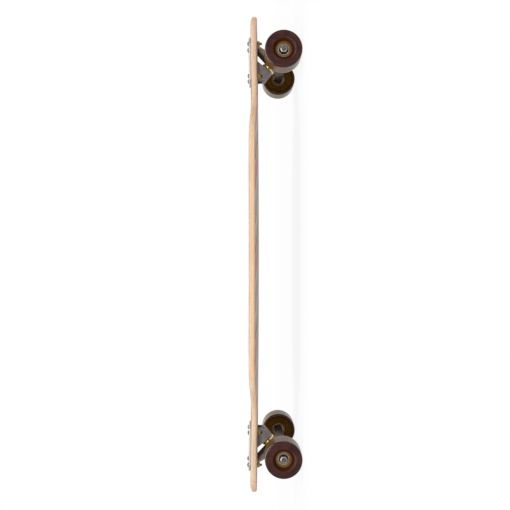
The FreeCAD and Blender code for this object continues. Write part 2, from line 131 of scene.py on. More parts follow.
# Mounting bolts and nuts
bolt_spacing_long = 63.5
bolt_spacing_wide = 41.3
bolt_radius = 2.4
bolt_pitch = 0.8
bolt_head_radius = 4.6
bolt_head_height = 3.1
bolt_head_edge = 0.7
bolt_socket_flats = 3.2
bolt_socket_depth = 1.9
bolt_nut_seat = -11.41
bolt_nut_flats = 9.5
bolt_nut_height = 5.5
bolt_nut_collar = 1.8
bolt_end = 3.5
bolt_foot = bolt_nut_seat - bolt_nut_height - bolt_end
bolt_thread_top = -9.0

# Kingpin, bushings and washers, along the kingpin from the middle of the hanger's ring
bushing_base = 2.5
bushing_top = 17.7
bushing_radius = 12.2
bushing_cone_radius = 10.0
bushing_bore = 4.9625
bushing_foot_inset = 0.6
bushing_foot_height = 1.2
bushing_band_height = 3.5
bushing_crown_inset = 0.8
bushing_crown_height = 1.2
bushing_round = 0.7
washer_radius = 13.5
washer_cup_radius = 12.5
washer_lip = 2.0
washer_thickness = 2.2
washer_floor_inset = 0.6
washer_floor_rise = 0.4
washer_shoulder = 1.1
washer_round = 0.25
lug_seat = bushing_top + washer_thickness
lug_depth = 18.0
kingpin_radius = 4.7625
kingpin_pitch = 1.06
kingpin_head_flats = 14.3
kingpin_head_seat = lug_seat + lug_depth
kingpin_head_height = 6.0
kingpin_head_round = 0.4
kingpin_nut_height = 9.0
kingpin_nut_collar = 2.6
kingpin_end = 2.0
kingpin_end_inset = 0.9
kingpin_end_taper = 0.6
kingpin_foot = -lug_seat - kingpin_nut_height - kingpin_end
kingpin_thread_top = -8.0

# Axle and its nuts, out from the truck's middle
axle_radius = 4.0
axle_half = 124.5
axle_pitch = 1.06
axle_thread_start = 106.0
axle_end_chamfer = 0.8
axle_bore = 4.02
axle_nut_seat = 116.4
axle_nut_flats = 12.7
axle_nut_height = 6.5
axle_nut_collar = 0.7
hub_middle = 103.2

# Lock nuts: the bevelled faces, and the collar crimped over a plastic ring
nut_face_share = 0.98
nut_chamfer_share = 0.9
nut_collar_share = 0.84
nut_collar_root = 0.2
nut_crimp_height = 0.7
nut_crimp_reach = 0.9
nut_crimp_wall = 0.25
nut_collar_round = 0.1
insert_wall = 0.9
insert_gap = 0.05

# Depth of a thread as a share of its pitch
thread_depth_share = 0.55

# How far a cutting tool stands past the piece that it cuts
cut_overshoot = 1.0

# Points nearer than this are one point, in new pieces and in copies of CAD pieces
doubles_gap = 0.002
cad_doubles_gap = 0.001


def linear(code):
    """Linear colour from an sRGB hex value."""
    channels = [int(code[i:i + 2], 16) / 255 for i in (1, 3, 5)]
    return [c / 12.92 if c <= 0.04045 else ((c + 0.055) / 1.055) ** 2.4 for c in channels] + [1.0]


def per_mm(size):
    """Texture scale whose features are about this many millimetres across."""
    return 1 / (size * MM)


def node(tree, kind, values=(), output=0):
    """Adds a node and gives one of its outputs.

    Its values are properties, or inputs by name or number, each a constant or another node's output.
    A ramp's stops are (position, hex colour) pairs.
    """
    made = tree.nodes.new("ShaderNode" + kind)
    for key, value in dict(values).items():
        if key == "stops":
            elements = made.color_ramp.elements
            for position, colour in value[len(elements):]:
                elements.new(position)
            for element, (position, colour) in zip(elements, value):
                element.position = position
                element.color = linear(colour)
        elif isinstance(value, bpy.types.NodeSocket):
            tree.links.new(value, made.inputs[key])
        elif isinstance(key, int) or key in made.inputs:
            made.inputs[key].default_value = linear(value) if isinstance(value, str) else value
        else:
            setattr(made, key, value)
    return made.outputs[output] if made.outputs else made


def material(name):
    """New empty material, with its node tree and Object coordinates."""
    made = bpy.data.materials.new(name)
    made.use_nodes = True
    made.node_tree.nodes.clear()
    return made, made.node_tree, node(made.node_tree, "TexCoord", {}, "Object")


def shaded(made, values):
    """Gives a material its shader, with these values and links."""
    shader = node(made.node_tree, "BsdfPrincipled", values)
    node(made.node_tree, "OutputMaterial", {"Surface": shader})
    return made


def maple_laminate():
    """Pressed maple plies under satin lacquer: striped rails, grain on top and print below."""
    made, tree, coords = material("maple_laminate")
    place = node(tree, "SeparateXYZ", {"Vector": coords}).node.outputs
    across = node(tree, "Math", {"operation": "MULTIPLY", 0: place["Y"], 1: place["Y"]})
    along = node(tree, "Math", {"operation": "MULTIPLY", 0: place["X"], 1: place["X"]})
    dish = -0.5 / ((concave_radius + deck_thickness) * MM)
    rocker = -0.5 / (rocker_radius * MM)
    rise = node(tree, "Math", {"operation": "MULTIPLY_ADD", 0: across, 1: dish, 2: place["Z"]})
    rise = node(tree, "Math", {"operation": "MULTIPLY_ADD", 0: along, 1: rocker, 2: rise})
    ply = deck_thickness / plies
    layer = node(tree, "Math", {
        "operation": "MULTIPLY_ADD", 0: rise, 1: per_mm(ply), 2: -deck_underside / ply,
    })
    # Long fibres along the board, and short pores that show where the plies are cut across
    fibres = node(tree, "Mapping", {"Vector": coords, "Scale": (0.03, 1, 1)})
    grain = node(tree, "TexNoise", {"Vector": fibres, "Scale": per_mm(2.2), "Detail": 6.0})
    figure = node(tree, "TexNoise", {"Vector": fibres, "Scale": per_mm(24.0), "Detail": 3.0})
    cut_ends = node(tree, "Mapping", {"Vector": coords, "Scale": (0.4, 1, 1)})
    pores = node(tree, "TexNoise", {"Vector": cut_ends, "Scale": per_mm(0.8), "Detail": 3.0})
    face_ply = node(tree, "ValToRGB", {
        "Fac": grain, "stops": [(0.3, "#e3c4a4"), (0.5, "#e9d1b8"), (0.72, "#eedbc9")],
    })
    cross_ply = node(tree, "ValToRGB", {
        "Fac": pores, "stops": [(0.3, "#cca27b"), (0.55, "#d8b48f"), (0.75, "#e1c2a1")],
    })
    wave = node(tree, "Math", {"operation": "PINGPONG", 0: layer, 1: 1.0})
    crossed = node(tree, "Math", {"operation": "GREATER_THAN", 0: wave, 1: 0.5})
    wood = node(tree, "Mix", {"data_type": "RGBA", 0: crossed, 6: face_ply, 7: cross_ply}, 2)
    tone = node(tree, "ValToRGB", {"Fac": figure, "stops": [(0.35, "#dcc3a4"), (0.65, "#ffffff")]})
    wood = node(tree, "Mix", {"data_type": "RGBA", "blend_type": "MULTIPLY", 0: 0.4, 6: wood, 7: tone}, 2)
    shifted = node(tree, "Math", {"operation": "ADD", 0: layer, 1: 0.5})
    to_glue = node(tree, "Math", {"operation": "PINGPONG", 0: shifted, 1: 0.5})
    glue = node(tree, "ValToRGB", {"Fac": to_glue, "stops": [(0.03, "#c09468"), (0.12, "#ffffff")]})
    wood = node(tree, "Mix", {"data_type": "RGBA", "blend_type": "MULTIPLY", 0: 0.7, 6: wood, 7: glue}, 2)
    printed = node(tree, "Math", {"operation": "LESS_THAN", 0: layer, 1: print_depth / ply})
    colour = node(tree, "Mix", {
        "data_type": "RGBA", 0: printed, 6: wood, 7: underside_print(tree, coords, place),
    }, 2)
    relief = node(tree, "Bump", {"Height": pores, "Strength": 0.5, "Distance": 0.06 * MM})
    return shaded(made, {
        "Base Color": colour, "Normal": relief, "Roughness": 0.45, "Specular IOR Level": 0.3,
        "Coat Weight": 0.1, "Coat Roughness": 0.25,
    })


def underside_print(tree, coords, place):
    """Screen print of muted chevrons, scuffed through to the wood in streaks along the board."""
    wobble = node(tree, "TexNoise", {"Vector": coords, "Scale": per_mm(34.0), "Detail": 3.0})
    half = node(tree, "Math", {"operation": "ABSOLUTE", 0: place["Y"]})
    slope = node(tree, "Math", {"operation": "MULTIPLY_ADD", 0: half, 1: chevron_slope, 2: place["X"]})
    slope = node(tree, "Math", {"operation": "MULTIPLY_ADD", 0: wobble, 1: chevron_wobble * MM, 2: slope})
    turns = node(tree, "Math", {"operation": "MULTIPLY", 0: slope, 1: per_mm(chevron_repeat)})
    turn = node(tree, "Math", {"operation": "FRACT", 0: turns})
    ink = node(tree, "ValToRGB", {"Fac": turn, "stops": [
        (0.0, "#8f6b62"), (0.16, "#747c86"), (0.27, "#a98a73"), (0.4, "#9c4a3d"), (0.48, "#8d685e"),
        (0.63, "#a98040"), (0.71, "#453630"), (0.78, "#977a6d"), (0.91, "#b4977e"),
    ]})
    ink.node.color_ramp.interpolation = "CONSTANT"
    streaks = node(tree, "Mapping", {"Vector": coords, "Scale": (0.15, 1, 1)})
    rub = node(tree, "TexNoise", {"Vector": streaks, "Scale": per_mm(3.0), "Detail": 8.0})
    wear_and_light = node(tree, "MapRange", {"Value": rub, "From Min": 0.62, "From Max": 0.7, "To Max": 0.6})
    return node(tree, "Mix", {"data_type": "RGBA", 0: wear_and_light, 6: ink, 7: "#cfa67b"}, 2)


def abrasive_grip():
    """Silicon-carbide grit glued to a sheet: dull black, with paler grains as painted glints and a filed
    rim.
    """
    made, tree, coords = material("abrasive_grip")
    # Real grains are about 0.5 mm: these are drawn coarser, so that they show
    grit = node(tree, "TexVoronoi", {"Vector": coords, "Scale": per_mm(1.4)})
    grains = node(tree, "TexNoise", {"Vector": coords, "Scale": per_mm(1.6), "Detail": 3.0})
    scuffs = node(tree, "TexNoise", {"Vector": coords, "Scale": per_mm(60.0), "Detail": 5.0})
    # Paler grains are painted glints over near black grit
    colour = node(tree, "ValToRGB", {
        "Fac": grains, "stops": [(0.35, "#09090b"), (0.55, "#161618"), (0.68, "#4c4c52")],
    })
    dust = node(tree, "MapRange", {"Value": scuffs, "From Min": 0.5, "From Max": 0.75, "To Max": 0.25})
    colour = node(tree, "Mix", {"data_type": "RGBA", 0: dust, 6: colour, 7: "#3a3835"}, 2)
    flat = node(tree, "NewGeometry", {}, "True Normal")
    upright = node(tree, "SeparateXYZ", {"Vector": flat}, "Z")
    filed = node(tree, "MapRange", {"Value": upright, "From Min": 0.8, "From Max": 0.4, "To Max": 0.85})
    colour = node(tree, "Mix", {"data_type": "RGBA", 0: filed, 6: colour, 7: "#b3a595"}, 2)
    relief = node(tree, "Bump", {"Height": grit, "Distance": 0.5 * MM})
    return shaded(made, {
        "Base Color": colour, "Normal": relief, "Roughness": 0.85, "Specular IOR Level": 0.3,
    })


def cast_metal(name, dark, pale, highlight, low, high, roughness):
    """Sand casting: cloudy metal with shallow pits, a painted highlight on high parts, sides and ridges,
    and painted shade in corners.
    """
    made, tree, coords = material(name)
    cloud = node(tree, "TexNoise", {"Vector": coords, "Scale": per_mm(12.0), "Detail": 4.0})
    pits = node(tree, "TexNoise", {"Vector": coords, "Scale": per_mm(0.9), "Detail": 3.0})
    colour = node(tree, "ValToRGB", {"Fac": cloud, "stops": [(0.3, dark), (0.7, pale)]})
    # Painted light: high parts, and sides more than tops, are mixed towards the highlight colour, so that
    # parts low under the deck read as shaded
    height = node(tree, "SeparateXYZ", {"Vector": coords}, "Z")
    above = node(tree, "MapRange", {"Value": height, "From Min": low * MM, "From Max": high * MM})
    upright = node(tree, "SeparateXYZ", {"Vector": coords.node.outputs["Normal"]}, "Z")
    side_light = node(tree, "MapRange", {"Value": upright, "From Min": 1.0, "From Max": 0.7, "To Min": 0.35})
    wear_and_light = node(tree, "Math", {"operation": "MULTIPLY", 0: above, 1: side_light})
    colour = node(tree, "Mix", {"data_type": "RGBA", 0: wear_and_light, 6: colour, 7: highlight}, 2)
    # Painted highlight on sharp ridges, and painted shade that darkens corners towards a near black brown
    edge = node(tree, "NewGeometry", {}, "Pointiness")
    ridge_highlight = node(tree, "MapRange", {"Value": edge, "From Min": 0.52, "From Max": 0.58, "To Max": 0.8})
    colour = node(tree, "Mix", {"data_type": "RGBA", 0: ridge_highlight, 6: colour, 7: highlight}, 2)
    corner = node(tree, "MapRange", {"Value": edge, "From Min": 0.48, "From Max": 0.42, "To Max": 0.7})
    colour = node(tree, "Mix", {"data_type": "RGBA", 0: corner, 6: colour, 7: "#2c2623"}, 2)
    rough = node(tree, "MapRange", {"Value": pits, "To Min": roughness - 0.08, "To Max": roughness + 0.1})
    relief = node(tree, "Bump", {"Height": pits, "Strength": 0.6, "Distance": 0.12 * MM})
    return shaded(made, {"Base Color": colour, "Roughness": rough, "Normal": relief, "Metallic": 0.9})


def plated_steel(name, dark, pale, roughness):
    """Turned steel under thin plating: bright, faintly tinted in clouds, with fine tool marks."""
    made, tree, coords = material(name)
    tint = node(tree, "TexNoise", {"Vector": coords, "Scale": per_mm(3.5), "Detail": 3.0})
    marks = node(tree, "TexNoise", {"Vector": coords, "Scale": per_mm(0.35), "Detail": 2.0})
    colour = node(tree, "ValToRGB", {"Fac": tint, "stops": [(0.35, dark), (0.65, pale)]})
    relief = node(tree, "Bump", {"Height": marks, "Strength": 0.4, "Distance": 0.03 * MM})
    return shaded(made, {"Base Color": colour, "Normal": relief, "Metallic": 1.0, "Roughness": roughness})


def cast_urethane(name, dark, pale, roughness, specular, glow):
    """Cast urethane: deep clouded colour with some light scattered inside it, and a poured skin."""
    made, tree, coords = material(name)
    cloud = node(tree, "TexNoise", {"Vector": coords, "Scale": per_mm(11.0), "Detail": 3.0})
    skin = node(tree, "TexNoise", {"Vector": coords, "Scale": per_mm(2.0), "Detail": 3.0})
    colour = node(tree, "ValToRGB", {"Fac": cloud, "stops": [(0.35, dark), (0.65, pale)]})
    relief = node(tree, "Bump", {"Height": skin, "Strength": 0.5, "Distance": 0.03 * MM})
    reach = [depth * MM for depth in urethane_scatter]
    return shaded(made, {
        "Base Color": colour, "Normal": relief, "Roughness": roughness, "Specular IOR Level": specular,
        "Subsurface Weight": glow, "Subsurface Radius": reach, "Subsurface Scale": 1.0,
    })


def dish_urethane():
    """Glossy urethane in a wheel's hollows, with a painted amber glow round the hub where light comes
    through it.
    """
    made, tree, coords = material("amber_dish_urethane")
    across = node(tree, "SeparateXYZ", {"Vector": coords}, "Y")
    side = node(tree, "Math", {"operation": "ABSOLUTE", 0: across})
    depth = node(tree, "Math", {"operation": "SUBTRACT", 0: side, 1: hub_middle * MM})
    depth = node(tree, "Math", {"operation": "ABSOLUTE", 0: depth})
    out = node(tree, "MapRange", {
        "Value": depth, "From Min": core_face * MM, "From Max": wheel_half_width * MM,
    })
    # Painted glow: bright amber round the hub where light through the urethane is painted in, dark down the
    # wall and a little lighter at the lip
    colour = node(tree, "ValToRGB", {
        "Fac": out, "stops": [(0.0, "#7c4b0f"), (0.25, "#351805"), (0.8, "#391905"), (1.0, "#4a280b")],
    })
    skin = node(tree, "TexNoise", {"Vector": coords, "Scale": per_mm(2.0), "Detail": 3.0})
    relief = node(tree, "Bump", {"Height": skin, "Strength": 0.5, "Distance": 0.03 * MM})
    return shaded(made, {
        "Base Color": colour, "Normal": relief, "Roughness": 0.22, "Specular IOR Level": 0.16,
    })


def ground_tread():
    """Urethane ground on a lathe: frosted, with fine rings round the tread that scatter the light."""
    made, tree, coords = material("ground_tread_urethane")
    cloud = node(tree, "TexNoise", {"Vector": coords, "Scale": per_mm(11.0), "Detail": 3.0})
    colour = node(tree, "ValToRGB", {"Fac": cloud, "stops": [(0.35, "#5a3c11"), (0.65, "#644413")]})
    lathe = node(tree, "Mapping", {"Vector": coords, "Scale": (0.05, 1, 0.05)})
    rings = node(tree, "TexNoise", {"Vector": lathe, "Scale": per_mm(0.7), "Detail": 2.0})
    relief = node(tree, "Bump", {"Height": rings, "Strength": 0.5, "Distance": 0.05 * MM})
    return shaded(made, {
        "Base Color": colour, "Normal": relief, "Roughness": 0.2, "Specular IOR Level": 0.1,
    })


def moulded_plastic(name, dark, pale, roughness):
    """Injection-moulded plastic with a fine satin skin."""
    made, tree, coords = material(name)
    cloud = node(tree, "TexNoise", {"Vector": coords, "Scale": per_mm(4.0), "Detail": 3.0})
    skin = node(tree, "TexNoise", {"Vector": coords, "Scale": per_mm(0.4), "Detail": 2.0})
    colour = node(tree, "ValToRGB", {"Fac": cloud, "stops": [(0.35, dark), (0.65, pale)]})
    relief = node(tree, "Bump", {"Height": skin, "Strength": 0.5, "Distance": 0.02 * MM})
    return shaded(made, {"Base Color": colour, "Normal": relief, "Roughness": roughness})


# Maple shows its plies as stripes, and the grip sheet is a dull black
maple = maple_laminate()
grip = abrasive_grip()
# Bare aluminium has a painted highlight where it stands above the deck, on its sides and ridges, and
# painted shade in corners; the coated hanger is darker and browner, with the same painted highlight on its
# upper parts
cast_aluminium = cast_metal(
    "cast_aluminium", "#736966", "#8c817e", "#c4bcbe", truck_height - deck_thickness, truck_height, 0.48,
)
hanger_coat = cast_metal(
    "coated_hanger", "#483d38", "#60524b", "#827067", hanger_shade, hanger_lit, 0.38,
)
# Zinc is bright on kingpins and axle nuts, duller on the deck bolts, and gold on their nuts and on washers
bright_zinc = plated_steel("bright_zinc", "#877f73", "#a79f91", 0.24)
clear_zinc = plated_steel("clear_zinc", "#68635a", "#8e887c", 0.3)
yellow_zinc = plated_steel("yellow_zinc", "#6a5530", "#a78b54", 0.3)
brass_zinc = plated_steel("brass_zinc", "#cdb678", "#eedda8", 0.3)
# Steel is dull at the ends of an axle, pale where a bearing is ground and near black on its shields
axle_steel = plated_steel("axle_steel", "#4f4b47", "#645f59", 0.34)
ground_steel = plated_steel("ground_steel", "#7d7668", "#a09787", 0.26)
dark_shield = plated_steel("dark_shield", "#1e2425", "#3a4243", 0.36)
# Urethane is amber all through: frosted on the tread, deep brown on the glossy face, warm in the hollows
# with a painted glow round the hub
tread_urethane = ground_tread()
face_urethane = cast_urethane("glossy_face_urethane", "#2f1615", "#43211a", 0.14, 0.17, 0.1)
hollow_urethane = dish_urethane()
bushing_urethane = cast_urethane("amber_bushing_urethane", "#8a5514", "#b27425", 0.3, 0.5, 0.5)
# Moulded plastic is satin: amber hubs, off-white rings in the nuts and black pivot cups
core_plastic = moulded_plastic("amber_core_plastic", "#604023", "#75502e", 0.42)
nylon = moulded_plastic("nylon_insert", "#8f8e82", "#a6a498", 0.45)
cup_urethane = moulded_plastic("black_cup_urethane", "#141414", "#202020", 0.5)


def only(piece):
    """Selects one piece and makes it active."""
    bpy.ops.object.select_all(action="DESELECT")
    piece.select_set(True)
    bpy.context.view_layer.objects.active = piece


def applied(piece, kind, **settings):
    """Adds a modifier with its settings and applies it."""
    only(piece)
    modifier = piece.modifiers.new(kind.lower(), kind)
    for key, value in settings.items():
        setattr(modifier, key, value)
    bpy.ops.object.modifier_apply(modifier=modifier.name)
    return piece


def cleaned(piece):
    """Merges doubled points, drops faces of no size and turns the rest outwards."""
    only(piece)
    bpy.ops.object.mode_set(mode="EDIT")
    bpy.ops.mesh.select_all(action="SELECT")
    bpy.ops.mesh.remove_doubles(threshold=doubles_gap * MM)
    bpy.ops.mesh.dissolve_degenerate(threshold=doubles_gap * MM)
    bpy.ops.mesh.select_all(action="SELECT")
    bpy.ops.mesh.normals_make_consistent(inside=False)
    bpy.ops.object.mode_set(mode="OBJECT")
    return piece


def arc(centre, radius, first, last, count):
    """Points along an arc, from one angle in degrees to another."""
    turn = [math.radians(first + (last - first) * i / count) for i in range(count + 1)]
    return [(centre[0] + radius * math.cos(a), centre[1] + radius * math.sin(a)) for a in turn]


def thread(radius, low, high, pitch):
    """Points up a threaded shank, from root to crest and back."""
    turns = int((high - low) / pitch)
    points = []
    for turn in range(turns):
        points.append((radius - thread_depth_share * pitch, low + turn * pitch))
        points.append((radius, low + (turn + 0.5) * pitch))
    return points


def mirrored(points):
    """The same points below the middle, in the order that goes on round a profile."""
    return [(radius, -height) for radius, height in reversed(points)]


def turned(name, profile, steps=64):
    """Spins a closed profile of (radius, height) points about Z, drawn from a plane's merged corners."""
    bpy.ops.object.select_all(action="DESELECT")
    bpy.ops.mesh.primitive_plane_add(size=MM)
    piece = bpy.context.object
    piece.name = name
    bpy.ops.object.mode_set(mode="EDIT")
    bpy.ops.mesh.select_all(action="SELECT")
    bpy.ops.mesh.merge(type="CENTER")
    points = [Vector((radius * MM, 0, height * MM)) for radius, height in profile]
    bpy.ops.transform.translate(value=points[0])
    for start, stop in zip(points, points[1:] + points[:1]):
        bpy.ops.mesh.extrude_region_move(TRANSFORM_OT_translate={"value": stop - start})
    bpy.ops.mesh.select_all(action="SELECT")
    bpy.ops.mesh.spin(steps=steps, angle=math.tau, center=(0, 0, 0), axis=(0, 0, 1))
    bpy.ops.object.mode_set(mode="OBJECT")
    return cleaned(piece)


def hexagon(name, flats, low, high):
    """Six-sided prism about Z."""
    bpy.ops.object.select_all(action="DESELECT")
    bpy.ops.mesh.primitive_cylinder_add(
        vertices=6, radius=flats / math.sqrt(3) * MM, depth=(high - low) * MM,
        location=(0, 0, (low + high) / 2 * MM),
    )
    piece = bpy.context.object
    piece.name = name
    only(piece)
    bpy.ops.object.transform_apply(location=True, rotation=True, scale=True)
    return piece


def carved(piece, tool, operation):
    """Boolean of a piece with a tool, which is then removed."""
    applied(piece, "BOOLEAN", object=tool, operation=operation, solver="EXACT")
    bpy.data.objects.remove(tool)
    return cleaned(piece)


def joined(pieces, name):
    """Joins pieces into one."""
    bpy.ops.object.select_all(action="DESELECT")
    for piece in pieces:
        piece.select_set(True)
    bpy.context.view_layer.objects.active = pieces[0]
    bpy.ops.object.join()
    pieces[0].name = name
    return pieces[0]


def copied(piece, place, name):
    """Copy of a piece with its own mesh, set in a place."""
    twin = bpy.data.objects.new(name, piece.data.copy())
    bpy.context.scene.collection.objects.link(twin)
    return placed(twin, place)


def placed(piece, place):
    """Moves a piece to a place and settles that in its mesh."""
    piece.matrix_world = place
    only(piece)
    bpy.ops.object.transform_apply(location=True, rotation=True, scale=True)
    return piece


def discarded(*patterns):
    """Removes the patterns that the copies were made from."""
    for pattern in patterns:
        bpy.data.objects.remove(pattern)


def coloured(piece, *finishes):
    """Gives a piece its materials."""
    piece.data.materials.clear()
    for finish in finishes:
        piece.data.materials.append(finish)
    return piece


def smooth(piece, degrees=38):
    """Smooth shading that keeps edges sharper than this angle."""
    only(piece)
    bpy.ops.object.shade_smooth_by_angle(angle=math.radians(degrees))
    return piece


def rounded(piece, width, degrees=35, segments=3):
    """Rounds the sharp edges of a piece."""
    applied(
        piece, "BEVEL", width=width * MM, segments=segments, limit_method="ANGLE",
        angle_limit=math.radians(degrees),
    )
    return smooth(cleaned(piece))


def stands_for(piece, body, slot, *nodes):
    """Sets a piece to ride on a body in place of its CAD nodes."""
    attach(piece, body)
    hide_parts(*nodes)
    return piece


def dressed(source, name):
    """Merged copy of a CAD piece."""
    piece = bpy.data.objects.new(name, frame["nodes"][source].data.copy())
    bpy.context.scene.collection.objects.link(piece)
    only(piece)
    bpy.ops.object.mode_set(mode="EDIT")
    bpy.ops.mesh.select_all(action="SELECT")
    bpy.ops.mesh.remove_doubles(threshold=cad_doubles_gap * MM)
    bpy.ops.object.mode_set(mode="OBJECT")
    return piece


def steering_frame(end):
    """Origin amid the hanger's ring, X up the steering axis and Z up the kingpin."""
    joint = joints[end + "_steer"]
    along = Vector(joint["axis"])
    across = Vector((0, 1 if end == "front" else -1, 0))
    turn = Matrix((along, across, along.cross(across))).transposed().to_4x4()
    return Matrix.Translation(joint["pos_m"]) @ turn


def truck_frame(end):
    """Origin amid the bolts under the plate, X out along the deck and Z up."""
    place = Matrix.Translation((truck_station * MM, 0, truck_height * MM))
    turn = Matrix.Rotation(0 if end == "front" else math.pi, 4, "Z")
    return turn @ place @ Matrix.Rotation(-truck_tilt, 4, "Y")


def wheel_frame(end, side):
    """Origin in the wheel's middle, Z out along the axle."""
    joint = joints[end + "_" + side + "_wheel_spin"]
    return Matrix.Translation(joint["pos_m"]) @ Matrix.Rotation(-SIDES[side] * math.pi / 2, 4, "X")


def axle_frame(end):
    """Origin in the axle's middle, Z to the left."""
    middle = Vector(joints[end + "_left_wheel_spin"]["pos_m"])
    middle.y = 0
    return Matrix.Translation(middle) @ Matrix.Rotation(-math.pi / 2, 4, "X")


def make_deck():
    """The laminated deck and its grip sheet."""
    for source, name, slot, finish in (
        ("deck", "laminated_deck", "maple_laminate", maple),
        ("grip_tape", "grip_sheet", "grip_tape", grip),
    ):
        piece = smooth(dressed(source, name), degrees=30)
        applied(piece, "WEIGHTED_NORMAL", keep_sharp=True)
        stands_for(coloured(piece, finish), "board", slot, source)


def for_both_ends(front_piece, name, bodies, slot, source):
    """Sets the front truck's piece and a copy of it, turned about, in the rear truck."""
    rear_piece = copied(front_piece, Matrix.Rotation(math.pi, 4, "Z"), "rear_" + name)
    front_piece.name = "front_" + name
    for end, piece in (("front", front_piece), ("rear", rear_piece)):
        stands_for(piece, bodies[end], slot, end + "_" + source)


def make_castings():
    """Baseplates and hangers, with their corners run together as the mould leaves them."""
    for source, name, bodies, slot, finish, voxel in (
        ("baseplate", "cast_baseplate", board_body, "cast_aluminium", cast_aluminium, plate_voxel),
        ("hanger", "cast_hanger", steering_body, "hanger_coating", hanger_coat, hanger_voxel),
    ):
        piece = dressed("front_" + source, name)
        applied(piece, "REMESH", mode="VOXEL", voxel_size=voxel * MM)
        applied(piece, "SMOOTH", factor=0.5, iterations=5)
        coloured(smooth(piece, degrees=80), finish)
        for_both_ends(piece, name, bodies, slot, source)
    cup = coloured(smooth(dressed("front_pivot_cup", "cup"), degrees=30), cup_urethane)
    for_both_ends(cup, "moulded_pivot_cup", board_body, "pivot_urethane", "pivot_cup")


def lock_nut(flats, height, bore, collar, finish):
    """Hexagonal nut with chamfered corners and a collar that holds a plastic ring."""
    corner = flats / math.sqrt(3)
    body_top = height - collar
    inner = flats / 2 * nut_face_share
    chamfer = (corner - flats / 2) * nut_chamfer_share
    nut = turned("nut", [
        (bore, 0), (inner, 0), (corner, chamfer), (corner, body_top - chamfer), (inner, body_top),
        (bore, body_top),
    ], steps=48)
    nut = carved(nut, hexagon("nut_sides", flats, -cut_overshoot, height), "INTERSECT")
    coloured(smooth(nut, degrees=25), finish)
    root = body_top - nut_collar_root
    rim = flats / 2 * nut_collar_share
    seat = bore + insert_wall
    mouth = rim - nut_crimp_reach
    shoulder = height - nut_crimp_height
    ring = turned("collar", [
        (seat, root), (rim, root), (rim, shoulder), (mouth, height), (mouth, height - nut_crimp_wall),
        (seat, shoulder - insert_gap),
    ], steps=48)
    coloured(rounded(ring, nut_collar_round), finish)
    insert_top = height - nut_crimp_wall - insert_gap
    insert = turned("insert", [
        (bore, root), (seat - insert_gap, root), (seat - insert_gap, shoulder - 2 * insert_gap),
        (mouth, insert_top), (bore, insert_top),
    ], steps=48)
    coloured(smooth(insert), nylon)
    return joined([nut, ring, insert], "nut")


def domed_bolt():
    """Domed bolt with a hexagonal socket and a threaded end, in a truck's frame."""
    crown = plate_thickness + bolt_head_height
    rise = bolt_head_height - bolt_head_edge
    dome = (bolt_head_radius ** 2 + rise ** 2) / (2 * rise)
    sweep = math.degrees(math.asin(bolt_head_radius / dome))
    profile = [(0, bolt_foot)] + thread(bolt_radius, bolt_foot, bolt_thread_top, bolt_pitch)
    profile += [(bolt_radius, bolt_thread_top), (bolt_radius, plate_thickness)]
    profile += [(bolt_head_radius, plate_thickness)]
    profile += arc((0, crown - dome), dome, 90 - sweep, 90, count=8)
    bolt = turned("bolt", profile, steps=40)
    socket = hexagon("socket", bolt_socket_flats, crown - bolt_socket_depth, crown + cut_overshoot)
    return coloured(smooth(carved(bolt, socket, "DIFFERENCE"), degrees=30), clear_zinc)


def make_bolts():
    """Four bolts with their lock nuts in each truck, from the plate down through the deck."""
    bolt = domed_bolt()
    nut = lock_nut(bolt_nut_flats, bolt_nut_height, bolt_radius, bolt_nut_collar, yellow_zinc)
    under_deck = Matrix.Translation((0, 0, bolt_nut_seat * MM)) @ upside_down
    for end in ENDS:
        spots = []
        for row in (-bolt_spacing_long / 2, bolt_spacing_long / 2):
            for side in (-bolt_spacing_wide / 2, bolt_spacing_wide / 2):
                spots.append(truck_frame(end) @ Matrix.Translation((row * MM, side * MM, 0)))
        bolts = joined([copied(bolt, spot, "bolt") for spot in spots], end + "_deck_bolts")
        stands_for(bolts, "board", "zinc_steel", end + "_mounting_bolts")
        nuts = joined([copied(nut, spot @ under_deck, "nut") for spot in spots], end + "_deck_nuts")
        stands_for(nuts, "board", "yellow_zinc", end + "_mounting_nuts")
    discarded(bolt, nut)


def make_kingpins():
    """Kingpins with their lock nuts."""
    low = kingpin_foot
    shank = [(0, low), (kingpin_radius - kingpin_end_inset, low)]
    shank += thread(kingpin_radius, low + kingpin_end_taper, kingpin_thread_top, kingpin_pitch)
    shank += [(kingpin_radius, kingpin_thread_top), (kingpin_radius, kingpin_head_seat)]
    shank += [(0, kingpin_head_seat)]
    head_top = kingpin_head_seat + kingpin_head_height
    head = hexagon("head", kingpin_head_flats, kingpin_head_seat, head_top)
    pin = joined([turned("shank", shank, steps=48), rounded(head, kingpin_head_round)], "pin")
    coloured(smooth(pin, degrees=30), bright_zinc)
    nut = lock_nut(kingpin_head_flats, kingpin_nut_height, kingpin_radius, kingpin_nut_collar, bright_zinc)
    under_washer = Matrix.Translation((0, 0, -lug_seat * MM)) @ upside_down
    for end in ENDS:
        place = steering_frame(end)
        stands_for(copied(pin, place, end + "_kingpin_bolt"), "board", "zinc_steel", end + "_kingpin")
        end_nut = copied(nut, place @ under_washer, end + "_kingpin_lock_nut")
        stands_for(end_nut, "board", "zinc_steel", end + "_kingpin_nut")
    discarded(pin, nut)


def bushing(end_radius):
    """Soft bushing that stands on the hanger's ring."""
    foot = bushing_base + bushing_foot_height
    band = bushing_base + bushing_band_height
    crown = bushing_top - bushing_crown_height
    piece = turned("bushing", [
        (bushing_bore, bushing_base), (bushing_radius - bushing_foot_inset, bushing_base),
        (bushing_radius, foot), (bushing_radius, band), (end_radius, crown),
        (end_radius - bushing_crown_inset, bushing_top), (bushing_bore, bushing_top),
    ])
    return coloured(rounded(piece, bushing_round, degrees=12), bushing_urethane)


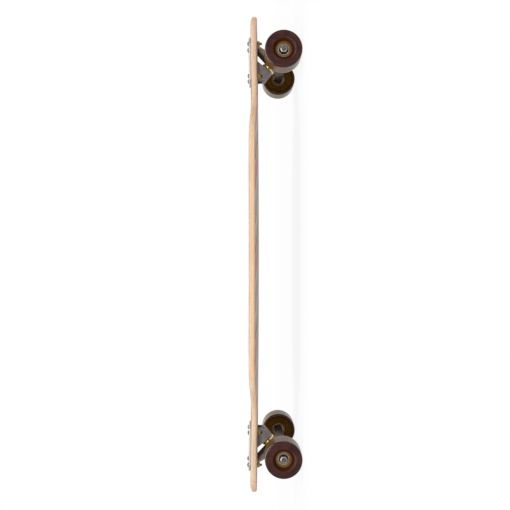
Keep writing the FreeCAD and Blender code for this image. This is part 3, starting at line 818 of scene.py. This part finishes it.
def cupped_washer():
    """Pressed washer whose lip turns round the end of a bushing."""
    lip = bushing_top - washer_lip
    piece = turned("washer", [
        (bushing_bore, bushing_top), (washer_cup_radius - washer_floor_inset, bushing_top),
        (washer_cup_radius, bushing_top - washer_floor_rise), (washer_cup_radius, lip),
        (washer_radius, lip), (washer_radius, lug_seat - washer_shoulder),
        (washer_radius - washer_shoulder, lug_seat), (bushing_bore, lug_seat),
    ])
    return coloured(rounded(piece, washer_round, degrees=20), brass_zinc)


def make_bushings():
    """Bushings between the board's washers and the leaning hanger, and the cupped washers."""
    barrel = bushing(bushing_radius)
    cone = bushing(bushing_cone_radius)
    washer = cupped_washer()
    for end in ENDS:
        board_side = steering_frame(end)
        road_side = board_side @ upside_down
        for name, pattern, place in (
            ("board_bushing", barrel, board_side),
            ("road_bushing", cone, road_side),
        ):
            piece = copied(pattern, place, end + "_" + name + "_urethane")
            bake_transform(piece)
            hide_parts(end + "_" + name)
        pair = [copied(washer, place, "washer") for place in (board_side, road_side)]
        stands_for(joined(pair, end + "_cupped_washers"), "board", "yellow_zinc", end + "_bushing_washers")
    discarded(barrel, cone, washer)


def make_axles():
    """Threaded axles with their lock nuts, speed rings, spacers and the bearings' inner rings."""
    upper = [(axle_radius, axle_thread_start)]
    upper += thread(axle_radius, axle_thread_start, axle_half - axle_end_chamfer, axle_pitch)
    upper += [(axle_radius - axle_end_chamfer, axle_half), (0, axle_half)]
    rod = turned("rod", mirrored(upper) + upper, steps=40)
    coloured(smooth(rod, degrees=30), axle_steel)
    nut = lock_nut(axle_nut_flats, axle_nut_height, axle_bore, axle_nut_collar, bright_zinc)
    outside = Matrix.Translation((0, 0, (axle_nut_seat - hub_middle) * MM))
    for end in ENDS:
        body = steering_body[end]
        stands_for(copied(rod, axle_frame(end), end + "_threaded_axle"), body, "zinc_steel", end + "_axle")
        pair = [copied(nut, wheel_frame(end, side) @ outside, "nut") for side in SIDES]
        stands_for(joined(pair, end + "_axle_lock_nuts"), body, "zinc_steel", end + "_axle_nuts")
    discarded(rod, nut)
    for source, slot in (
        ("speed_rings", "zinc_steel"),
        ("bearing_spacers", "bearing_steel"),
        ("bearing_inner_rings", "bearing_steel"),
    ):
        piece = coloured(smooth(dressed("front_" + source, source), degrees=30), ground_steel)
        for_both_ends(piece, "plain_" + source, steering_body, slot, source)


def tyre_half(recess_radius, lip_width, lip_depth):
    """Outside of the tyre from the tread's middle round the lip and recess to the core."""
    edge = wheel_half_width - wheel_face_slope
    points = [(wheel_radius, 0), (wheel_radius, (wheel_half_width - lip_depth) * tread_flat_share)]
    for across, along in arc((0, 0), 1, 0, 90, count=10):
        radius = wheel_radius - lip_width * (1 - across)
        points.append((radius, wheel_half_width - lip_depth * (1 - along)))
    points += [(recess_radius + out, edge - down) for out, down in recess_edge]
    points += [(core_rim_radius + recess_foot_width, core_face + recess_foot_height)]
    points += [(core_rim_radius, core_face), (core_rim_radius, core_flange_half)]
    return points + [(core_flange_radius, core_flange_half)]


def urethane_tyre():
    """Tyre with a glossy outer face, a ground tread, an amber recess and a wide amber dish behind."""
    upper = tyre_half(wheel_recess_radius, wheel_lip_width, wheel_lip_depth)
    lower = tyre_half(wheel_dish_radius, wheel_back_lip, wheel_back_lip)[1:]
    tyre = turned("tyre", upper + mirrored(lower), steps=112)
    coloured(tyre, tread_urethane, face_urethane, hollow_urethane)
    face_index, hollow_index = 1, 2
    for face in tyre.data.polygons:
        reach = math.hypot(face.center.x, face.center.y) / MM
        height = face.center.z / MM
        if height < wheel_back_lip - wheel_half_width or reach < wheel_recess_radius:
            face.material_index = hollow_index
        elif height > wheel_half_width - wheel_lip_depth:
            face.material_index = face_index
    return smooth(tyre, degrees=32)


def moulded_core():
    """Hub with a bearing seat at each end and a flange inside the tyre."""
    rim = [
        (core_bore_radius, bearing_low), (bearing_radius, bearing_low),
        (bearing_radius, core_face - core_seat_chamfer), (bearing_radius + core_seat_chamfer, core_face),
        (core_rim_radius - core_rim_chamfer, core_face), (core_rim_radius, core_face - core_rim_chamfer),
        (core_rim_radius, core_flange_half), (core_flange_radius, core_flange_half),
    ]
    hub = turned("hub", rim + mirrored(rim), steps=80)
    return coloured(smooth(hub, degrees=30), core_plastic)


def shielded_bearing():
    """Outer ring of the outer bearing with a pressed shield on each side."""
    ring = turned("ring", [
        (bearing_radius, bearing_low), (bearing_radius, bearing_high - ring_chamfer),
        (bearing_radius - ring_chamfer, bearing_high), (shield_radius, bearing_high),
        (shield_radius, ring_groove), (shield_radius, bearing_low),
    ])
    shield = turned("shield", [
        (shield_radius, shield_floor), (shield_radius, shield_rim_top),
        (shield_radius - shield_rim_width, shield_rim_top), (shield_radius - shield_step, shield_crown),
        (shield_lip_radius + shield_lip_width, shield_crown), (shield_lip_radius, shield_lip_top),
        (shield_lip_radius, shield_floor),
    ])
    back = turned("back", [
        (shield_radius, back_shield_low), (shield_radius, back_shield_high),
        (shield_lip_radius, back_shield_high), (shield_lip_radius, back_shield_low),
    ])
    coloured(smooth(ring, degrees=30), ground_steel)
    coloured(smooth(shield, degrees=30), dark_shield)
    coloured(smooth(back, degrees=30), dark_shield)
    return joined([ring, shield, back], "bearing")


def make_wheels():
    """Tyre, hub and bearings of each wheel."""
    tyre = urethane_tyre()
    hub = moulded_core()
    bearing = shielded_bearing()
    for end in ENDS:
        for side in SIDES:
            body = end + "_" + side + "_wheel"
            place = wheel_frame(end, side)
            stands_for(copied(tyre, place, body + "_urethane_tyre"), body, "wheel_urethane", body + "_tyre")
            stands_for(copied(hub, place, body + "_moulded_core"), body, "core_plastic", body + "_core")
            pair = [copied(bearing, place @ turn, "bearing") for turn in (Matrix(), upside_down)]
            bearings = joined(pair, body + "_shielded_bearings")
            stands_for(bearings, body, "bearing_steel", end + "_" + side + "_bearing_outer_rings")
    discarded(tyre, hub, bearing)


# Camera, square to the side of the board with the nose up
camera_distance = 1320.0
camera_height = 99.0
camera_lens = 46.4
camera_shift = (0.0130, -0.0013)
camera_clip = 10.0

# Floor just under the wheels, whose shadow fades to white away from the board
floor_size = 12000.0
floor_drop = 0.4
floor_fade_start = 300.0
floor_fade_end = 1500.0
floor_white_share = 0.88

# Light of the room, and how far a mirrored direction leans to the camera where it is dim and where not
room_level = 0.4
room_dim_level = 0.3
room_dim_lean = -0.9
room_bright_lean = 0.1

# Lamps: name, place, length and width, and power in watts, all aimed at one height over the floor
lamps = (
    ("key", (0.0, -1100.0, 1700.0), (2600.0, 500.0), 32.0),
    ("fill", (0.0, -2000.0, 400.0), (2600.0, 300.0), 13.0),
    ("back", (0.0, 1600.0, 1400.0), (2000.0, 1000.0), 11.0),
)
lamp_aim = 60.0


def make_camera():
    """Camera at the side of the board, turned so that the nose is up."""
    camera = bpy.data.objects.new("camera", bpy.data.cameras.new("camera"))
    bpy.context.scene.collection.objects.link(camera)
    right, up, back = Vector((0, 0, -1)), Vector((1, 0, 0)), Vector((0, -1, 0))
    turn = Matrix((right, up, back)).transposed().to_4x4()
    camera.matrix_world = Matrix.Translation((0, -camera_distance * MM, camera_height * MM)) @ turn
    camera.data.lens = camera_lens
    camera.data.shift_x, camera.data.shift_y = camera_shift
    camera.data.clip_start = camera_clip * MM
    bpy.context.scene.camera = camera


def make_floor():
    """Pale floor that keeps a soft shadow, fades to white away from the board and is open from below."""
    bpy.ops.object.select_all(action="DESELECT")
    bpy.ops.mesh.primitive_plane_add(size=floor_size * MM, location=(0, 0, -floor_drop * MM))
    floor = bpy.context.object
    floor.name = "studio_floor"
    made, tree, coords = material("pale_floor")
    rays = node(tree, "LightPath").node.outputs
    seen = node(tree, "Math", {"operation": "MAXIMUM", 0: rays["Is Camera Ray"], 1: rays["Is Glossy Ray"]})
    seen = node(tree, "Math", {"operation": "MAXIMUM", 0: seen, 1: rays["Is Transmission Ray"]})
    away = node(tree, "VectorMath", {"operation": "LENGTH", 0: coords}, "Value")
    white = node(tree, "MapRange", {
        "Value": away, "From Min": floor_fade_start * MM, "From Max": floor_fade_end * MM,
        "To Min": floor_white_share,
    })
    share = node(tree, "Math", {"operation": "MULTIPLY", 0: seen, 1: white})
    paint = node(tree, "BsdfDiffuse", {"Color": "#ececec"})
    glow = node(tree, "Emission", {"Color": "#ffffff"})
    top = node(tree, "MixShader", {0: share, 1: paint, 2: glow})
    below = node(tree, "NewGeometry", {}, "Backfacing")
    both = node(tree, "MixShader", {0: below, 1: top, 2: node(tree, "BsdfTransparent")})
    node(tree, "OutputMaterial", {"Surface": both})
    floor.data.materials.append(made)


def make_world():
    """White surroundings, dimmer on the camera's side where metal and gloss mirror the room."""
    world = bpy.data.worlds.new("studio")
    bpy.context.scene.world = world
    world.use_nodes = True
    tree = world.node_tree
    tree.nodes.clear()
    rays = node(tree, "LightPath").node.outputs
    direction = node(tree, "TexCoord", {}, "Generated")
    depth = node(tree, "SeparateXYZ", {"Vector": direction}, "Y")
    room = node(tree, "MapRange", {
        "Value": depth, "From Min": room_dim_lean, "From Max": room_bright_lean, "To Min": room_dim_level,
    })
    glossy = node(tree, "Math", {"operation": "MULTIPLY", 0: rays["Is Glossy Ray"], 1: room})
    seen = node(tree, "Math", {
        "operation": "MAXIMUM", 0: rays["Is Camera Ray"], 1: rays["Is Transmission Ray"],
    })
    level = node(tree, "Math", {"operation": "MAXIMUM", 0: seen, 1: glossy})
    level = node(tree, "Math", {"operation": "MAXIMUM", 0: level, 1: room_level})
    sky = node(tree, "Background", {"Color": "#ffffff", "Strength": level})
    node(tree, "OutputWorld", {"Surface": sky})


def make_light(name, place, size, power):
    """Soft lamp, as long as the board and more, aimed at its middle."""
    lamp = bpy.data.objects.new(name, bpy.data.lights.new(name, "AREA"))
    lamp.data.shape = "RECTANGLE"
    lamp.data.size = size[0] * MM
    lamp.data.size_y = size[1] * MM
    lamp.data.energy = power
    lamp.location = Vector(place) * MM
    aim = Vector((0, 0, lamp_aim)) - Vector(place)
    lamp.rotation_euler = aim.to_track_quat("-Z", "Y").to_euler()
    bpy.context.scene.collection.objects.link(lamp)


def make_studio():
    """Floor, surroundings and lamps, with plain colours."""
    make_floor()
    make_world()
    for lamp in lamps:
        make_light(*lamp)
    bpy.context.scene.view_settings.view_transform = "Standard"


make_deck()
make_castings()
make_bolts()
make_kingpins()
make_bushings()
make_axles()
make_wheels()
make_camera()
make_studio()
